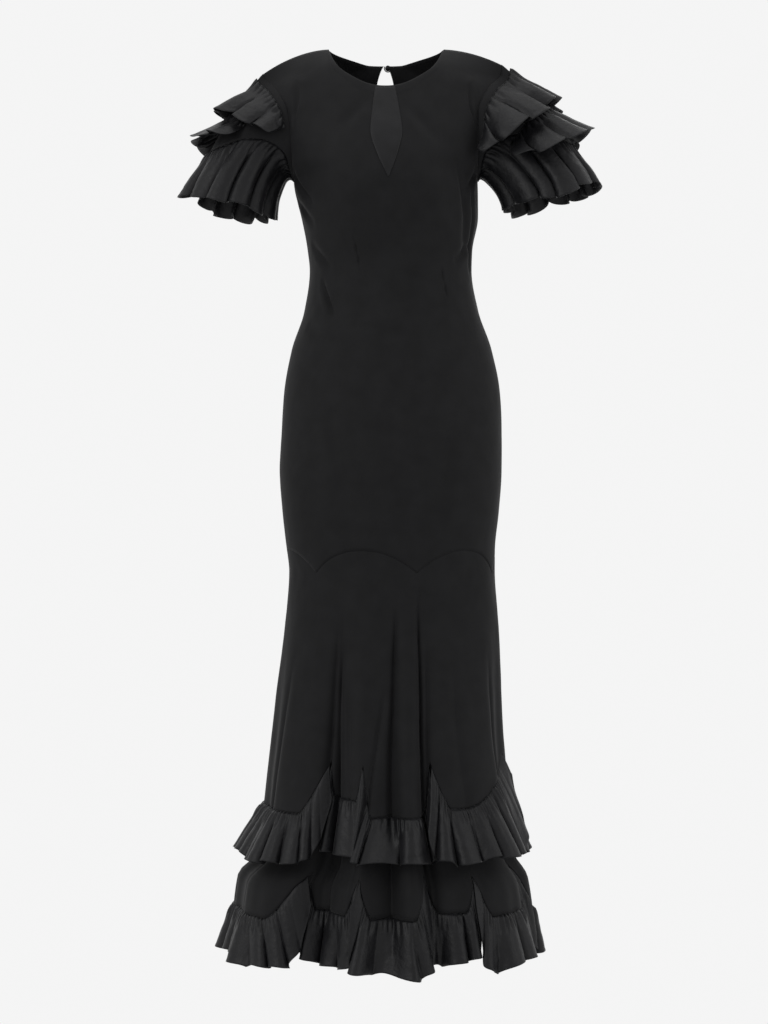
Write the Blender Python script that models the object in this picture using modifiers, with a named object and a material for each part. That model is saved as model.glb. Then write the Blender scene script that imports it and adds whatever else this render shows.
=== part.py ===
"""A long worn dress with no wearer in it: a fitted crepe body, a flared skirt with a petal hem over a longer
one, and gathered taffeta flounces on the petals and on the cap sleeves.

X runs to the right of the picture, -Y towards the front and +Z up. The origin lies on the shoulder line, at
the middle of the neck. Round the dress, an angle of 0 is the centre front, 90 the right side seam, 180 the
centre back and 270 or -90 the left side seam. Tables are in millimetres and degrees.
"""

import bpy
import numpy as np

MM = 0.001

# Cloth and seams
CREPE = 1.6 * MM
TAFFETA = 1.2 * MM
SEAM = 0.3 * MM
INSERT_GAP = 1.1 * MM

# Neck
NECK_LEFT = -27.0
NECK_RIGHT = 29.0
NECK_TOP = 1.5
NECK_FRONT_LOW = -69.0
NECK_BACK_LOW = -11.5
SHOULDER_LEFT_END = -34.5
SHOULDER_RIGHT_END = -21.0
SHOULDER_CURVE = 1.8
SHOULDER_ROUNDING = 48.0
NECK_ROUNDING = 6.0

# Keyhole at the back of the neck
KEYHOLE_LOW = -128.0
KEYHOLE_HALF_WIDTH = 13.0
KEYHOLE_NECK_HALF_WIDTH = 2.5

# Bust form from the darts
BUST_HEIGHT = -205.0
BUST_ANGLE = 30.0
BUST_GAIN = 9.0

# Scalloped seam between the body and the skirt
SCALLOP_FIRST = 14.0
SCALLOP_SPAN = 60.0
SCALLOP_LOW = -781.0
SCALLOP_RISE = 33.0
SCALLOP_GAP = 0.5

# Skirts
FLUTE_FULL = -1140.0
UNDERSKIRT_TOP = -1000.0
UPPER_CUSP = -1050.0
LOWER_CUSP = -1210.0
FLOUNCE_TIP = 22.0
FLOUNCE_FLAT = 0.5
FLOUNCE_CORNER = 3.2
CUFF_GAP = 2.0
WAVE_SHARE = 0.12
WAVE_MOST = 5.5
SIDE_CALM = 0.75
LOWER_FLARE = 0.5
COLUMNS_A_WAVE = 4
BEHIND = 0.001


def table(names, rows):
    """The rows as one array for each named column."""
    return {name: np.array(column, float) for name, column in zip(names.split(), zip(*rows))}


# Limits of the cloth at each height: the side seams or armhole edges, how far forward the front armhole
# edge lies, the centre line, and how deep the front and back are.
BODY = table(
    "height left right edge centre front back",
    [
        (5, -187.5, 171.5, 0, -4, -46, 46),
        (-35, -186.5, 168.5, 0, -4, -62, 60),
        (-60, -166.5, 148.5, 24, -4, -75, 70),
        (-100, -147.5, 132.5, 42, -3, -92, 82),
        (-140, -143.5, 132.5, 44, -2, -108, 91),
        (-175, -141.5, 132.5, 30, -1, -118, 94),
        (-197, -140.5, 133.5, 0, 0, -121, 94),
        (-250, -128.5, 133.5, 0, 2, -112, 87),
        (-300, -119.5, 125.5, 0, 3, -95, 76),
        (-330, -116.5, 124.5, 0, 4, -90, 73),
        (-390, -124.5, 134.5, 0, 4, -94, 86),
        (-450, -143.5, 154.5, 0, 5, -101, 104),
        (-510, -154.5, 166.5, 0, 5, -106, 114),
        (-570, -158.5, 169.5, 0, 5, -109, 116),
        (-630, -161.5, 169.5, 0, 5, -109, 113),
        (-690, -157.5, 165.5, 0, 4, -106, 108),
        (-750, -150.5, 159.5, 0, 4, -103, 102),
        (-780, -147.5, 159.5, 0, 4, -102, 100),
        (-840, -151.5, 163.5, 0, 3, -104, 101),
        (-900, -158.5, 167.5, 0, 2, -109, 104),
        (-960, -166.5, 169.5, 0, 1, -116, 111),
        (-1020, -173.5, 172.5, 0, 0, -125, 120),
        (-1080, -180.5, 178.5, 0, 0, -136, 131),
        (-1140, -187.5, 189, 0, 0, -149, 144),
        (-1200, -200, 198, 0, 0, -157, 153),
        (-1235, -227, 212, 0, 0, -163, 160),
        (-1300, -230, 217, 0, 0, -171, 168),
        (-1380, -231, 222, 0, 0, -181, 178),
    ],
)

# Long folds of the skirt: where, how wide, how far in at full depth, and where they start.
FLUTES = table(
    "angle width depth start",
    [
        (-76, 8, 7, -820),
        (-52, 14, -5, -860),
        (-27, 8, 25, -800),
        (-13, 5, -9, -820),
        (0, 5, 14, -800),
        (9, 5, -8, -800),
        (18, 4, 14, -790),
        (46, 16, -6, -860),
        (72, 7, 9, -820),
        (98, 8, 8, -820),
        (128, 8, 14, -800),
        (150, 10, -7, -860),
        (172, 6, 16, -800),
        (194, 10, -7, -820),
        (218, 8, 17, -800),
        (242, 12, -6, -860),
    ],
)

# Petals of each hem, from one cusp to the next: the gathers of the flounce on each, how far past its two
# cusps it reaches, its gap at the seam, where the hem is lowest, how much of it is level, and the heights of
# the hem and of the flounce's edge.
UPPER_PETALS = table(
    "start end waves left_past right_past gap middle flat low edge",
    [
        (-126, -30, 16, 13, 13, 1.3, 0.5, 0.72, -1128, -1197),
        (-30, -11.5, 5, 6, 6, 1.3, 0.5, 0.74, -1104, -1184),
        (-11.5, 20.5, 6, 11, 6, 1.8, 0.5, 0.76, -1129, -1191),
        (20.5, 78, 8, 13, 24, 1.3, 0.17, 0.15, -1119, -1190),
        (78, 117, 6, 6, 13, 1.3, 0.5, 0.42, -1125, -1203),
        (117, 156, 6, 6, 6, 1.3, 0.5, 0.42, -1128, -1198),
        (156, 196, 6, 13, 13, 1.3, 0.5, 0.42, -1128, -1203),
        (196, 234, 6, 6, 6, 1.3, 0.5, 0.42, -1128, -1198),
    ],
)
LOWER_PETALS = table(
    "start end waves left_past right_past gap middle flat low edge",
    [
        (-118, -34, 12, 24, 24, 1.15, 0.5, 0.66, -1278, -1344),
        (-34, -11, 5, 6, 6, 1.3, 0.5, 0.64, -1264, -1336),
        (-11, 15, 5, 13, 13, 1.15, 0.5, 0.62, -1270, -1345),
        (15, 36, 5, 6, 6, 1.3, 0.5, 0.52, -1264, -1334),
        (36, 72, 6, 13, 13, 1.1, 0.5, 0.66, -1272, -1343),
        (72, 132, 9, 6, 6, 1.1, 0.5, 0.6, -1280, -1347),
        (132, 187, 8, 13, 13, 1.3, 0.5, 0.42, -1280, -1350),
        (187, 242, 8, 6, 6, 1.0, 0.5, 0.42, -1280, -1347),
    ],
)

# How far the underskirt lies inside the skirt's surface.
UNDERSKIRT_INSET = table(
    "height inset",
    [(-1000, 3.4), (-1050, 11), (-1110, 13), (-1190, 12), (-1240, 2), (-1300, -2), (-1380, -3)],
)

# The two ways that an end of a flounce lies beside its neighbour: the inner one hangs closer and goes behind,
# the outer one, which reaches further past the cusp than OVER, stands out.
OVER = 10.0
FLOUNCE_LAYERS = table("side_lift flare", [(-5.0, 10.0), (9.0, 26.0)])

# Sections of each sleeve from the armhole, 0, to the edge of the lowest ruffle, 1.
LEFT_SLEEVE = table(
    "along across height lean tall deep",
    [
        (0.0, -158.5, -115, 76, 79, 45),
        (0.25, -180, -131, 62, 66, 51),
        (0.5, -200, -155, 46, 60, 57),
        (0.75, -219, -188, 32, 58, 62),
        (1.0, -234, -224, 20, 60, 66),
        (1.2, -241, -252, 16, 60, 69),
    ],
)
RIGHT_SLEEVE = table(
    "along across height lean tall deep",
    [
        (0.0, 148.5, -107, 76, 86, 45),
        (0.25, 174, -124, 62, 74, 51),
        (0.5, 200, -148, 46, 68, 57),
        (0.75, 224, -180, 32, 64, 63),
        (1.0, 243, -211, 20, 65, 68),
        (1.2, 251, -238, 16, 65, 71),
    ],
)

# Where the cap of a sleeve ends, by the angle round it: 0 is the top, 90 the front, 180 the underarm.
CAP_END = table("around along", [(0, 0.76), (45, 0.66), (80, 0.45), (110, 0.22), (130, 0.12), (180, 0.1)])

# Ruffles of each sleeve: how far round they reach at the front and the back, where they start and end along
# it, how far they lie off the cap at the seam and at the edge, and their gathers.
LEFT_RUFFLES = table(
    "front back start end seat flare depth waves",
    [
        (94, 118, 0.07, 0.45, 3.2, 14, 5.0, 8),
        (62, 104, 0.4, 0.71, 2.6, 29, 6.0, 7),
        (180, 180, 0.76, 1.1, 0, 4, 6.5, 12),
    ],
)
RIGHT_RUFFLES = table(
    "front back start end seat flare depth waves",
    [
        (118, 118, 0.07, 0.45, 4.6, 13, 5.0, 9),
        (104, 104, 0.4, 0.71, 2.4, 27, 6.0, 9),
        (180, 180, 0.76, 1.1, 0, 4, 6.5, 12),
    ],
)

# Taffeta lozenge under the neckline: half widths by height.
LOZENGE = table("height half_width", [(-70, 14), (-105, 19), (-140, 22.5), (-170, 15.5), (-208, 1)])

# Armholes
UNDERARM = -197.0
ARMHOLE_ROWS = 6
ARMHOLE_GAP = 2.1
ARMHOLE_BLEND = 0.3
UNDERARM_RISE = 0.08
RUFFLE_BELL = 1.8

# Button and loop
BUTTON_RADIUS = 4.5 * MM
BUTTON_HEIGHT = -13 * MM
BUTTON_SEAT = 0.3 * MM
LOOP_RADIUS = 0.8 * MM


def smooth(value, low, high):
    """Rises softly from 0 at low to 1 at high."""
    part = np.clip((value - low) / (high - low), 0, 1)
    return part * part * (3 - 2 * part)


def read(rows, name, key, at):
    """A soft curve through one column of a table, which never overshoots its rows."""
    order = np.argsort(rows[key])
    x = rows[key][order]
    y = rows[name][order]
    step = np.diff(x)
    slope = np.diff(y) / step
    turn = slope[:-1] * slope[1:] > 0
    inner = np.where(turn, 2 * slope[:-1] * slope[1:] / np.where(turn, slope[:-1] + slope[1:], 1), 0)
    tangent = np.concatenate([slope[:1], inner, slope[-1:]])
    at = np.clip(at, x[0], x[-1])
    i = np.clip(np.searchsorted(x, at, side="right") - 1, 0, len(step) - 1)
    t = (at - x[i]) / step[i]
    rise = 3 * t**2 - 2 * t**3
    ease_in = t**3 - 2 * t**2 + t
    ease_out = t**3 - t**2
    return y[i] + (y[i + 1] - y[i]) * rise + step[i] * (ease_in * tangent[i] + ease_out * tangent[i + 1])


def shoulder_height(side):
    """The height of the shoulder seam, level across the neck and falling to each shoulder's end."""
    left_neck = np.sin(np.radians(NECK_LEFT))
    right_neck = np.sin(np.radians(NECK_RIGHT))
    left_fall = np.clip((left_neck - side) / (left_neck + 1), 0, 1)
    right_fall = np.clip((side - right_neck) / (1 - right_neck), 0, 1)
    height = NECK_TOP + (SHOULDER_LEFT_END - NECK_TOP) * left_fall**SHOULDER_CURVE
    return height + (SHOULDER_RIGHT_END - NECK_TOP) * right_fall**SHOULDER_CURVE


def cloth(angle, height, opening=0.0):
    """Points on the inner face of the body or skirt, in millimetres, with no long folds.

    opening moves the centre line aside, for the edges of the keyhole.
    """
    side = np.sin(np.radians(angle))
    toward = np.cos(np.radians(angle))
    centre = read(BODY, "centre", "height", height) + opening
    limit = np.where(side < 0, read(BODY, "left", "height", height), read(BODY, "right", "height", height))
    x = centre + (limit - centre) * np.abs(side)
    front = read(BODY, "front", "height", height)
    back = read(BODY, "back", "height", height)
    apex = np.exp(-((np.abs(angle) - BUST_ANGLE) ** 2) / 18**2 - (height - BUST_HEIGHT) ** 2 / 45**2)
    depth = np.where(toward > 0, front - BUST_GAIN * apex, back)
    edge = read(BODY, "edge", "height", height) * -np.sign(toward)
    power = np.interp(height, [-230, -60], [0.5, 1.0])
    crown = np.maximum(1 - side**2, 0) ** power
    rounding = NECK_ROUNDING + (SHOULDER_ROUNDING - NECK_ROUNDING) * smooth(np.abs(side), 0, 0.5)
    soften = np.clip((shoulder_height(side) - height) / rounding, 0, 1)
    y = (edge + (depth - edge) * crown) * (1 - (1 - soften) ** 2)
    return np.stack(np.broadcast_arrays(x, y, height), axis=-1)


def outward(angle, height):
    """The level direction that points out of the cloth."""
    width = (read(BODY, "right", "height", height) - read(BODY, "left", "height", height)) / 2
    depth = (read(BODY, "back", "height", height) - read(BODY, "front", "height", height)) / 2
    x = depth * np.sin(np.radians(angle))
    y = -width * np.cos(np.radians(angle))
    long = np.hypot(x, y)
    return np.stack(np.broadcast_arrays(x / long, y / long, 0 * height), axis=-1)


def wrapped(angle):
    """The angle brought between -180 and 180."""
    return (angle + 180) % 360 - 180


def flute(angle, height):
    """How far the long folds move the cloth out: a bell curve round each fold's angle, deeper further down."""
    out = np.zeros(np.broadcast(angle, height).shape)
    for where, width, depth, start in zip(*FLUTES.values()):
        growth = np.clip((start - height) / (start - FLUTE_FULL), 0, 1.2) ** 1.2
        out -= depth * growth * np.exp(-((wrapped(angle - where) / width) ** 2))
    return out


def skirt(angle, height, inset=0.0):
    """Points on the inner face of a skirt, with its long folds."""
    out = flute(angle, height) - inset
    return cloth(angle, height) + outward(angle, height) * out[..., None]


def scallop(angle):
    """The height of the scalloped seam: arches that meet in points."""
    across = ((angle - SCALLOP_FIRST) / SCALLOP_SPAN) % 1
    return SCALLOP_LOW + SCALLOP_RISE * (1 - np.abs(2 * across - 1) ** 2.2)


def neckline(angle):
    """The top edge of the body: the shoulder seam, or the round neckline between the neck points."""
    side = np.sin(np.radians(angle))
    low = np.where(np.cos(np.radians(angle)) > 0, NECK_FRONT_LOW, NECK_BACK_LOW)
    reach = np.where(side < 0, side / np.sin(np.radians(NECK_LEFT)), side / np.sin(np.radians(NECK_RIGHT)))
    dip = np.maximum(1 - np.clip(reach, 0, 1) ** 2.2, 0) ** 0.6
    return shoulder_height(side) + (low - NECK_TOP) * dip


def off_middle(part, middle):
    """How far a point is from the lowest stretch of a petal, as a share of the way to the cusp on its side."""
    return np.abs(part - middle) / np.where(part < middle, middle, 1 - middle)


def petal_hem(part, middle, flat, cusp, low):
    """The height of a petal's edge, from its cusps to the level middle."""
    from_middle = off_middle(part, middle)
    fall = 1 - np.clip((from_middle - flat) / (1 - flat), 0, 1) ** 1.35
    return cusp + (low - cusp) * fall


def add_material(name, color, roughness, sheen):
    material = bpy.data.materials.new(name)
    material.use_nodes = True
    shader = material.node_tree.nodes["Principled BSDF"]
    shader.inputs["Base Color"].default_value = (*color, 1)
    shader.inputs["Roughness"].default_value = roughness
    shader.inputs["Metallic"].default_value = 0.0
    shader.inputs["Sheen Weight"].default_value = sheen
    return material


def add_object(name, mesh, collection, material):
    mesh.materials.append(material)
    item = bpy.data.objects.new(name, mesh)
    collection.objects.link(item)
    return item


def add_shell(name, points, collection, material, thickness, closed=False):
    """A cloth wall on a grid of points in millimetres, thickened outwards."""
    rows, columns = points.shape[:2]
    index = np.arange(rows * columns).reshape(rows, columns)
    right = np.roll(index, -1, axis=1) if closed else index[:, 1:]
    left = index if closed else index[:, :-1]
    faces = np.stack([left[:-1], left[1:], right[1:], right[:-1]], axis=-1).reshape(-1, 4)
    mesh = bpy.data.meshes.new(name)
    mesh.from_pydata((points.reshape(-1, 3) * MM).tolist(), [], faces.tolist())
    mesh.shade_smooth()
    item = add_object(name, mesh, collection, material)
    wall = item.modifiers.new("Cloth", "SOLIDIFY")
    wall.thickness = thickness
    wall.offset = 1.0
    return item


def rows_between(top, bottom, parts):
    """Heights from the top to the bottom edge of each column, at the given parts of the way."""
    return top + (bottom - top) * np.asarray(parts)[:, None]


def body_columns(start, end):
    """Angles from one side seam to the other, with one at each neck point and scallop point."""
    every = np.arange(start + 9, end - 4, 9.0)
    kept = [NECK_LEFT, NECK_RIGHT, 180 - NECK_RIGHT, 180 - NECK_LEFT, 180]
    kept += [SCALLOP_FIRST + SCALLOP_SPAN * n for n in range(-2, 5)]
    kept = np.array([a for a in kept if start + 3 < a < end - 3])
    free = [a for a in every if np.abs(kept - a).min() > 4.5]
    return np.sort(np.concatenate([[start, end], kept, free]))


def keyhole(height, top):
    """Half the width of the keyhole: a drop shape that narrows to the button, then the centre back seam."""
    part = np.clip((top - height) / (top - KEYHOLE_LOW), 0, 1)
    drop = KEYHOLE_NECK_HALF_WIDTH * (1 - part) + KEYHOLE_HALF_WIDTH * np.sin(np.pi * part**0.8)
    return np.maximum(drop, SEAM / MM / 2)


def build_body(collection, crepe):
    """The front and the two back halves, from the shoulder seams to the scalloped seam."""
    for name, start, end in (
        ("front_body", -90, 90),
        ("back_body_right", 90 + BEHIND, 180),
        ("back_body_left", 180, 270),
    ):
        angles = body_columns(start, end)
        upper = rows_between(neckline(angles), UNDERARM + 0 * angles, np.linspace(0, 1, ARMHOLE_ROWS + 1))
        lower = rows_between(UNDERARM + 0 * angles, scallop(angles), np.linspace(0, 1, 15))
        heights = np.concatenate([upper, lower[1:]])
        toward_back = -np.cos(np.radians(angles)) > 0
        half = 0.5 * SEAM / MM
        opening = 0.0
        if start >= 90:
            away = 1 if end == 180 else -1
            opening = away * keyhole(heights, NECK_BACK_LOW)
        points = cloth(angles[None], heights, opening)
        points[..., 1] += np.where(toward_back, half, -half)
        seam_side = np.abs(np.abs(np.sin(np.radians(angles))) - 1) < 1e-6
        points[:, seam_side, 1] += half if start >= 90 else -half
        points[-1, :, 2] += SCALLOP_GAP / 2
        add_shell(name, points, collection, crepe, CREPE)


def hem_columns(petals, cusp, start, end):
    """The angle and hem height of each column between two side seams, with one at each cusp."""
    angles, heights = [], []
    for first, last, waves, _, _, _, middle, flat, low, _ in zip(*petals.values()):
        part = np.arange(int(waves)) / waves
        angles.append(first + (last - first) * part)
        heights.append(petal_hem(part, middle, flat, cusp, low))
    angles = np.concatenate(angles)
    around = np.concatenate([angles - 360, angles, angles + 360])
    heights = np.concatenate(heights * 3)
    points = SCALLOP_FIRST + SCALLOP_SPAN * np.arange(-2, 5)
    extra = points[np.abs(points[:, None] - around).min(axis=1) > 0.2]
    columns = np.sort(np.concatenate([around, extra]))
    columns = columns[(columns > start + 0.5) & (columns < end - 0.5)]
    columns = np.concatenate([[start], columns, [end]])
    return columns, np.interp(columns, around, heights)


def build_skirts(collection, crepe):
    """The upper skirt and the underskirt, each a front and a back that meet at the side seams."""
    half = 0.5 * SEAM / MM
    for name, start, end in (("skirt_front", -90, 90), ("skirt_back", 90, 270)):
        angles, bottom = hem_columns(UPPER_PETALS, UPPER_CUSP, start, end)
        seam = body_columns(start, 180 if start > 0 else end)
        if start > 0:
            seam = np.concatenate([seam, body_columns(180, end)[1:]])
        top = np.interp(angles, seam, scallop(seam)) - SCALLOP_GAP / 2
        heights = rows_between(top, bottom, np.linspace(0, 1, 10))
        points = skirt(angles[None], heights)
        points[:, [0, -1], 1] += half if start > 0 else -half
        add_shell(name, points, collection, crepe, CREPE)
    for name, start, end in (("underskirt_front", -90, 90), ("underskirt_back", 90, 270)):
        angles, bottom = hem_columns(LOWER_PETALS, LOWER_CUSP, start, end)
        heights = rows_between(UNDERSKIRT_TOP + 0 * angles, bottom, np.linspace(0, 1, 7))
        inset = read(UNDERSKIRT_INSET, "inset", "height", heights)
        points = skirt(angles[None], heights, inset)
        points[:, [0, -1], 1] += half if start > 0 else -half
        add_shell(name, points, collection, crepe, CREPE)


def layer(name, left_past, right_past, part):
    """A column of FLOUNCE_LAYERS, which turns over the middle of a flounce from its left end's way to its right's."""
    left, right = (FLOUNCE_LAYERS[name][int(past > OVER)] for past in (left_past, right_past))
    return left + (right - left) * smooth(part, 0.3, 0.7)


def flounce(petal, cusp, flare_share, under):
    """Points of one flounce, sewn along a petal's edge and waved more and more towards its own edge.

    Its edge is a wider, longer copy of the petal's own edge: a broad U that reaches past the cusps, so that
    neighbours overlap and the flounces together make a level band.
    """
    first, last, waves, left_past, right_past, gap, middle, flat, low, bottom = petal
    waves = int(waves)
    count = waves * COLUMNS_A_WAVE
    part = np.arange(count + 1) / count
    knots = np.arange(waves + 1) / waves
    hem = petal_hem(knots, middle, flat, cusp, low)
    inset = read(UNDERSKIRT_INSET, "inset", "height", hem) if under else 0.0
    edge_knots = skirt(first + (last - first) * knots, hem, inset)
    seam = np.stack([np.interp(part, knots, edge_knots[:, i]) for i in range(3)], axis=-1)
    trim = COLUMNS_A_WAVE // 2
    part = part[trim : count + 1 - trim]
    seam = seam[trim : count + 1 - trim]

    from_middle = off_middle(part, middle)
    past = np.where(part < middle, left_past, right_past)
    side_lift = layer("side_lift", left_past, right_past, part)
    flare = layer("flare", left_past, right_past, part) * flare_share
    level = max(flat, FLOUNCE_FLAT)
    drop = 1 - np.clip((from_middle - level) / (1 - level), 0, 1) ** FLOUNCE_CORNER
    height = cusp - FLOUNCE_TIP + (bottom - cusp + FLOUNCE_TIP) * drop
    aside = past * smooth(from_middle, 0.1, 0.75) * (1 - 0.5 * smooth(from_middle, 0.8, 1.0))
    beside = first + (last - first) * part
    beside += np.sign(part - middle) * np.degrees(aside / np.hypot(seam[:, 0], seam[:, 1]))
    inset = read(UNDERSKIRT_INSET, "inset", "height", height) if under else 0.0
    lift = side_lift + (flare - side_lift) * smooth(drop, 0.25, 0.95)
    reach = seam[:, 2] - height
    calm = 1 - SIDE_CALM * smooth(from_middle, level, 0.9)
    wave = np.cos(2 * np.pi * waves * part) * np.clip(reach * WAVE_SHARE, 1, WAVE_MOST) * calm
    edge = skirt(beside, height, inset) + outward(beside, height) * (lift + wave)[:, None]
    along = np.gradient(seam, axis=0)
    along /= np.linalg.norm(along, axis=-1, keepdims=True)
    off = edge - seam
    off -= along * np.sum(off * along, axis=-1, keepdims=True)
    return np.stack([seam + off * gap / np.linalg.norm(off, axis=-1, keepdims=True), edge])


def build_flounces(collection, taffeta):
    for kind, petals, cusp, flare_share in (
        ("upper", UPPER_PETALS, UPPER_CUSP, 1.0),
        ("lower", LOWER_PETALS, LOWER_CUSP, LOWER_FLARE),
    ):
        for number, petal in enumerate(zip(*petals.values()), 1):
            points = flounce(petal, cusp, flare_share, kind == "lower")
            add_shell(f"{kind}_flounce_{number}", points, collection, taffeta, TAFFETA)


def armhole(around, outer):
    """The edge of an armhole, a little outside the body's own edge and straight between its rows."""
    top = SHOULDER_RIGHT_END if outer > 0 else SHOULDER_LEFT_END
    bottom = UNDERARM + ARMHOLE_GAP
    turn = np.radians(around)
    z = bottom + (top - bottom) * (1 + np.cos(turn)) / 2
    rows = np.linspace(UNDERARM, top, ARMHOLE_ROWS + 1)
    x = np.interp(z, rows, read(BODY, "right" if outer > 0 else "left", "height", rows)) + outer * ARMHOLE_GAP
    y = -np.interp(z, rows, read(BODY, "edge", "height", rows)) * np.sign(np.sin(turn))
    return np.stack([x, y, z], axis=-1)


def cap_columns():
    """Angles round a sleeve that meet the rows of the body at the armhole, and ones halfway between them."""
    part = np.linspace(0, 1, ARMHOLE_ROWS + 1)
    front = np.degrees(np.arccos(1 - 2 * part))
    ring = np.concatenate([front[:-1], 360 - front[:0:-1]])
    halfway = (ring + np.append(ring[1:], 360)) / 2
    return np.sort(np.concatenate([ring, halfway]))


def sleeve(rows, around, along, lift=0.0):
    """Points on a bent tube: it starts at the armhole's edge, and turns to nearly level oval sections."""
    outer = np.sign(rows["across"][0])
    start = armhole(around, outer) - tube(rows, around, 0 * around, 0)
    near = 1 - smooth(along + 0 * around, 0, ARMHOLE_BLEND)
    return tube(rows, around, along, lift) + start * near[..., None]


def tube(rows, around, along, lift):
    """Oval sections along a bend, upright at the armhole and nearly level at the cuff."""
    lean = np.radians(read(rows, "lean", "along", along))
    outer = np.sign(rows["across"][0])
    tall = read(rows, "tall", "along", along) + lift
    deep = read(rows, "deep", "along", along) + lift
    turn = np.radians(around)
    x = read(rows, "across", "along", along) + outer * np.cos(lean) * tall * np.cos(turn)
    z = read(rows, "height", "along", along) + np.sin(lean) * tall * np.cos(turn)
    y = -deep * np.sin(turn)
    return np.stack(np.broadcast_arrays(x, y, z), axis=-1)


def cap_end(around):
    return read(CAP_END, "along", "around", np.abs(wrapped(around)))


def build_sleeves(collection, crepe, taffeta):
    """Each sleeve's cap and its three ruffles."""
    for side, rows, ruffles in (("left", LEFT_SLEEVE, LEFT_RUFFLES), ("right", RIGHT_SLEEVE, RIGHT_RUFFLES)):
        flip = slice(None, None, -1) if side == "right" else slice(None)
        columns = cap_columns()
        cap = sleeve(rows, columns, np.linspace(0, 1, 5)[:, None] * cap_end(columns))
        add_shell(f"sleeve_{side}", cap[:, flip], collection, crepe, CREPE, closed=True)
        for number, ruffle in enumerate(zip(*ruffles.values()), 1):
            front, back, start, end, seat, flare, depth, waves = ruffle
            closed = front == 180
            count = int(waves) * COLUMNS_A_WAVE
            part = np.linspace(0, 1, count + 1)
            if closed:
                part = part[:-1]
            around = (front + back) * part - back
            near_end = around / np.where(around > 0, front, back)
            ends = np.ones(len(around)) if closed else np.sqrt(np.maximum(1 - near_end**4, 0.04))
            grown = []
            for step in (0.0, 0.5, 1.0):
                if closed:
                    first = cap_end(around)
                    last = end - UNDERARM_RISE * smooth(np.abs(around), 95, 180)
                else:
                    first = start + 0 * around
                    last = start + (end - start) * ends
                wave = depth * np.cos(2 * np.pi * waves * (part - 0.5)) * step * ends
                lift = seat + (flare - seat) * step**RUFFLE_BELL * ends + wave
                grown.append(sleeve(rows, around, first + (last - first) * step, lift))
            points = np.stack(grown)
            if closed:
                cap_edge = cap[-1, np.append(np.arange(len(columns)), 0)]
                for axis in range(3):
                    points[0, :, axis] = np.interp(around % 360, np.append(columns, 360), cap_edge[:, axis])
                run = points[1] - points[0]
                points[0] += run * CUFF_GAP / np.linalg.norm(run, axis=-1, keepdims=True)
            name = f"sleeve_{side}_ruffle_{number}"
            add_shell(name, points[:, flip], collection, taffeta, TAFFETA, closed=closed)


def build_neck_insert(collection, taffeta):
    """A lozenge on the front, from the front's own points moved out."""
    top = neckline(np.array([0.0]))[0] - 1.5
    heights = np.linspace(top, LOZENGE["height"][-1], 9)
    half = read(LOZENGE, "half_width", "height", heights)
    across = np.linspace(-1, 1, 5)
    limit = read(BODY, "right", "height", heights) - read(BODY, "centre", "height", heights)
    angle = np.degrees(np.arcsin(half[:, None] * across / limit[:, None]))
    points = cloth(angle, heights[:, None] + 0 * angle)
    points[..., 1] -= (CREPE + INSERT_GAP) / MM
    add_shell("neck_insert", points, collection, taffeta, TAFFETA)


def build_button(collection, taffeta):
    """A covered ball button on the right back edge and its loop from the left one."""
    back = cloth(np.array(180.0), np.array(BUTTON_HEIGHT / MM))[1] * MM + CREPE + SEAM
    centre = (0.0, back + BUTTON_RADIUS + BUTTON_SEAT, BUTTON_HEIGHT)
    bpy.ops.mesh.primitive_uv_sphere_add(segments=12, ring_count=8, radius=BUTTON_RADIUS, location=centre)
    ball = bpy.context.object
    ball.name = "button"
    ball.data.materials.append(taffeta)
    for holder in list(ball.users_collection):
        holder.objects.unlink(ball)
    collection.objects.link(ball)

    curve = bpy.data.curves.new("button_loop", "CURVE")
    curve.dimensions = "3D"
    curve.bevel_depth = LOOP_RADIUS
    curve.bevel_resolution = 1
    curve.use_fill_caps = True
    curve.materials.append(taffeta)
    turn = np.radians(np.linspace(150, 390, 11))
    radius = BUTTON_RADIUS + LOOP_RADIUS + SEAM
    line = curve.splines.new("POLY")
    line.points.add(len(turn) - 1)
    for point, angle in zip(line.points, turn):
        point.co = (centre[0] + radius * np.cos(angle), centre[1], centre[2] + radius * np.sin(angle), 1)
    collection.objects.link(bpy.data.objects.new("button_loop", curve))


def main():
    for item in list(bpy.data.objects):
        bpy.data.objects.remove(item)
    collection = bpy.data.collections.new("ruffle_dress")
    bpy.context.scene.collection.children.link(collection)
    crepe = add_material("black_crepe", (0.014, 0.014, 0.015), 0.85, 0.3)
    taffeta = add_material("black_taffeta", (0.022, 0.022, 0.024), 0.45, 0.1)
    build_body(collection, crepe)
    build_neck_insert(collection, taffeta)
    build_button(collection, taffeta)
    build_sleeves(collection, crepe, taffeta)
    build_skirts(collection, crepe)
    build_flounces(collection, taffeta)


main()
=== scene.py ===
"""The looks of a long worn dress: a matte crepe body and petal-hemmed skirts, with crisp taffeta ruffles
on the cap sleeves and gathered flounces on the petals.

The cloth is worked out with numpy as thin surfaces on the forms of the CAD solids, in millimetres and
degrees. Round the dress an angle of 0 is the centre front, 90 the right side seam, 180 the centre back and
270 or -90 the left side seam.
"""

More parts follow.
